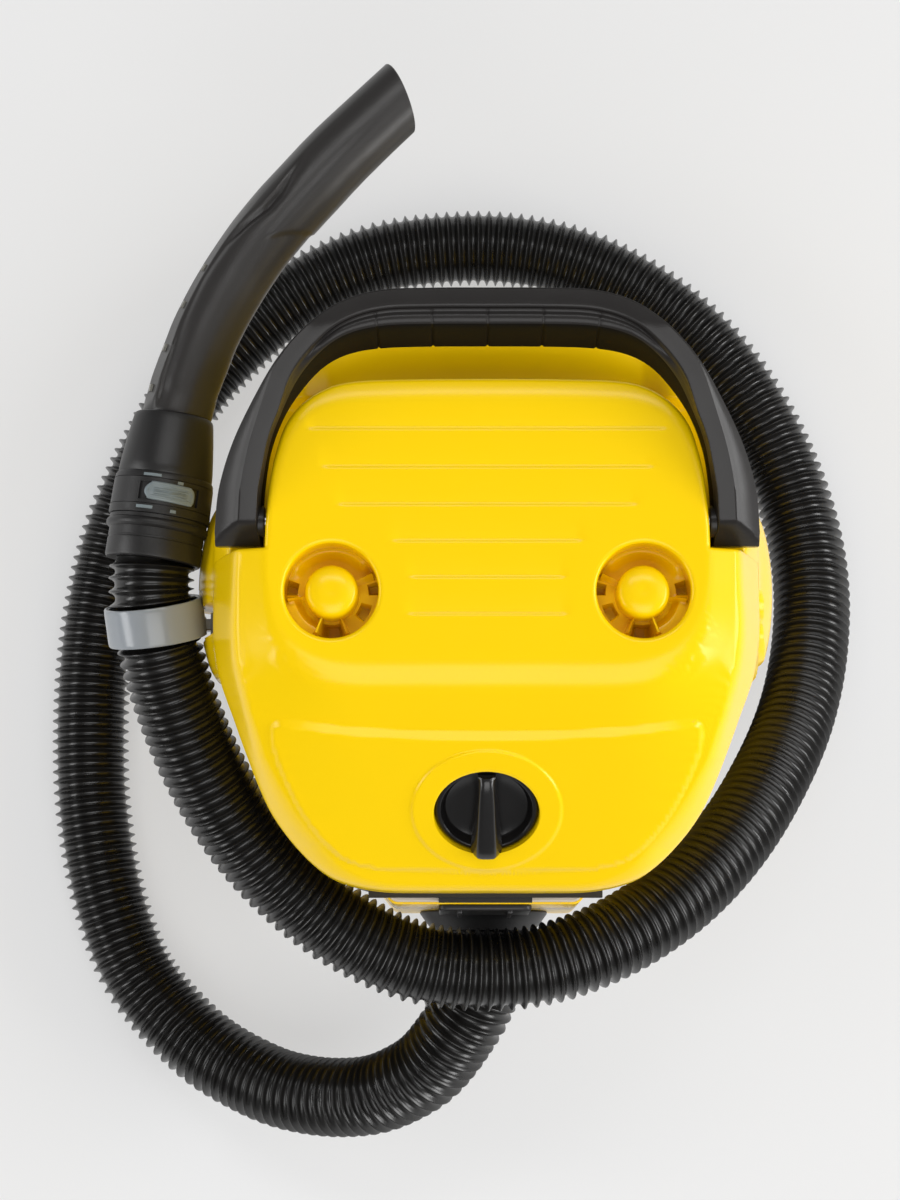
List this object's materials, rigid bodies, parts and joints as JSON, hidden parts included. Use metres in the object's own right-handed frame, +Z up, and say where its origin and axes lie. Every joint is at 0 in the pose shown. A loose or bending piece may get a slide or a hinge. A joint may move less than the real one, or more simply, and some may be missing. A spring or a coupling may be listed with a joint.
{
  "type": "wet and dry vacuum cleaner",
  "caption": "Compact canister vacuum cleaner with a folding carry handle, castors, side latches and a corrugated hose wound round the body and clipped to it.",
  "frame": {"origin": "on the floor under the middle of the body, without the hose and the pieces on it", "axes": "+Z up, front with the switch and the hose inlet towards -Y, +X to the right seen from the front"},
  "size_m": [0.4582, 0.5534, 0.398],
  "materials": {
    "yellow_shell": "moulded, semi-gloss",
    "yellow_tub": "moulded, semi-gloss",
    "black_plastic": "fine texture",
    "handle_plastic": "fine texture",
    "knob_plastic": "satin",
    "hose_plastic": "satin",
    "grip_plastic": "fine texture",
    "clip_plastic": "satin",
    "slider_plastic": "satin",
    "seal_rubber": "matte",
    "dark_rubber": "matte",
    "wheel_plastic": "satin",
    "zinc_steel": "zinc plated",
    "white_plastic": "satin",
    "film_plastic": "gloss",
    "sheet_aluminium": "bright",
    "lamination_steel": "satin",
    "copper_brass": "satin",
    "filter_paper": "matte paper"
  },
  "bodies": {
    "root": {"container": "yellow_tub", "base_ring": "black_plastic", "base_screws": "zinc_steel", "inlet_port": "black_plastic", "rim_seal": "seal_rubber", "head_base": "black_plastic", "head_cover": "yellow_shell", "head_screws": "zinc_steel", "exhaust_grille": "black_plastic", "cord_gland": "black_plastic", "handle_pins": "zinc_steel", "latch_pins": "zinc_steel", "switch_body": "white_plastic", "terminal_block": "white_plastic", "capacitor": "film_plastic", "motor_seal": "dark_rubber", "motor_hood": "black_plastic", "hood_screws": "zinc_steel", "fan_housing": "sheet_aluminium", "motor_frame": "black_plastic", "stator": "lamination_steel", "lower_bearing": "zinc_steel", "upper_bearing": "zinc_steel", "brush_holders": "copper_brass", "filter_cage": "black_plastic", "filter_gasket": "dark_rubber", "cartridge_filter": "filter_paper", "hose": "hose_plastic", "hose_inlet_cuff": "black_plastic", "hose_clip": "clip_plastic", "hose_end_cuff": "black_plastic", "regulator_collar": "grip_plastic", "grip_tube": "grip_plastic"},
    "handle": {"carry_handle": "handle_plastic"},
    "knob": {"switch_knob": "knob_plastic"},
    "latch_l": {"latch_left": "black_plastic"},
    "latch_r": {"latch_right": "black_plastic"},
    "swivel_fl": {"castor_fork_fl": "black_plastic", "castor_axle_fl": "zinc_steel"},
    "swivel_fr": {"castor_fork_fr": "black_plastic", "castor_axle_fr": "zinc_steel"},
    "swivel_rl": {"castor_fork_rl": "black_plastic", "castor_axle_rl": "zinc_steel"},
    "swivel_rr": {"castor_fork_rr": "black_plastic", "castor_axle_rr": "zinc_steel"},
    "wheel_fl": {"castor_wheel_fl": "wheel_plastic"},
    "wheel_fr": {"castor_wheel_fr": "wheel_plastic"},
    "wheel_rl": {"castor_wheel_rl": "wheel_plastic"},
    "wheel_rr": {"castor_wheel_rr": "wheel_plastic"},
    "rotor": {"armature": "lamination_steel", "impeller": "sheet_aluminium"},
    "ball": {"float_ball": "white_plastic"},
    "turn_cap": {"filter_cap": "black_plastic"},
    "slider": {"air_slider": "slider_plastic"}
  },
  "joints": [
    {"name": "handle_hinge", "type": "hinge", "parent": "root", "child": "handle", "pos_m": [0, 0.041, 0.35], "axis": [1, 0, 0], "range_deg": [0, 80]},
    {"name": "switch_turn", "type": "hinge", "parent": "root", "child": "knob", "pos_m": [0, -0.098, 0.30363], "axis": [0, -0.6561, 0.7547], "range_deg": [0, 90]},
    {"name": "latch_left_hinge", "type": "hinge", "parent": "root", "child": "latch_l", "pos_m": [-0.1415, 0.032, 0.246], "axis": [0, 1, 0], "range_deg": [0, 35]},
    {"name": "latch_right_hinge", "type": "hinge", "parent": "root", "child": "latch_r", "pos_m": [0.1415, 0.032, 0.246], "axis": [0, -1, 0], "range_deg": [0, 35]},
    {"name": "swivel_fl_turn", "type": "hinge", "parent": "root", "child": "swivel_fl", "pos_m": [-0.086, -0.082, 0.05], "axis": [0, 0, 1], "continuous": true},
    {"name": "swivel_fr_turn", "type": "hinge", "parent": "root", "child": "swivel_fr", "pos_m": [0.086, -0.082, 0.05], "axis": [0, 0, 1], "continuous": true},
    {"name": "swivel_rl_turn", "type": "hinge", "parent": "root", "child": "swivel_rl", "pos_m": [-0.086, 0.094, 0.05], "axis": [0, 0, 1], "continuous": true},
    {"name": "swivel_rr_turn", "type": "hinge", "parent": "root", "child": "swivel_rr", "pos_m": [0.086, 0.094, 0.05], "axis": [0, 0, 1], "continuous": true},
    {"name": "wheel_fl_roll", "type": "hinge", "parent": "swivel_fl", "child": "wheel_fl", "pos_m": [-0.086, -0.069, 0.019], "axis": [1, 0, 0], "continuous": true},
    {"name": "wheel_fr_roll", "type": "hinge", "parent": "swivel_fr", "child": "wheel_fr", "pos_m": [0.086, -0.069, 0.019], "axis": [1, 0, 0], "continuous": true},
    {"name": "wheel_rl_roll", "type": "hinge", "parent": "swivel_rl", "child": "wheel_rl", "pos_m": [-0.086, 0.107, 0.019], "axis": [1, 0, 0], "continuous": true},
    {"name": "wheel_rr_roll", "type": "hinge", "parent": "swivel_rr", "child": "wheel_rr", "pos_m": [0.086, 0.107, 0.019], "axis": [1, 0, 0], "continuous": true},
    {"name": "rotor_spin", "type": "hinge", "parent": "root", "child": "rotor", "pos_m": [0, 0.014, 0.3], "axis": [0, 0, 1], "continuous": true},
    {"name": "float_rise", "type": "slide", "parent": "root", "child": "ball", "axis": [0, 0, 1], "range_m": [0, 0.048]},
    {"name": "cap_turn", "type": "hinge", "parent": "root", "child": "turn_cap", "pos_m": [0, 0.014, 0.13], "axis": [0, 0, -1], "range_deg": [0, 60]},
    {"name": "slider_turn", "type": "hinge", "parent": "root", "child": "slider", "pos_m": [-0.166, 0.065, 0.266], "axis": [0.1392, 0.9903, 0], "range_deg": [0, 40]}
  ]
}
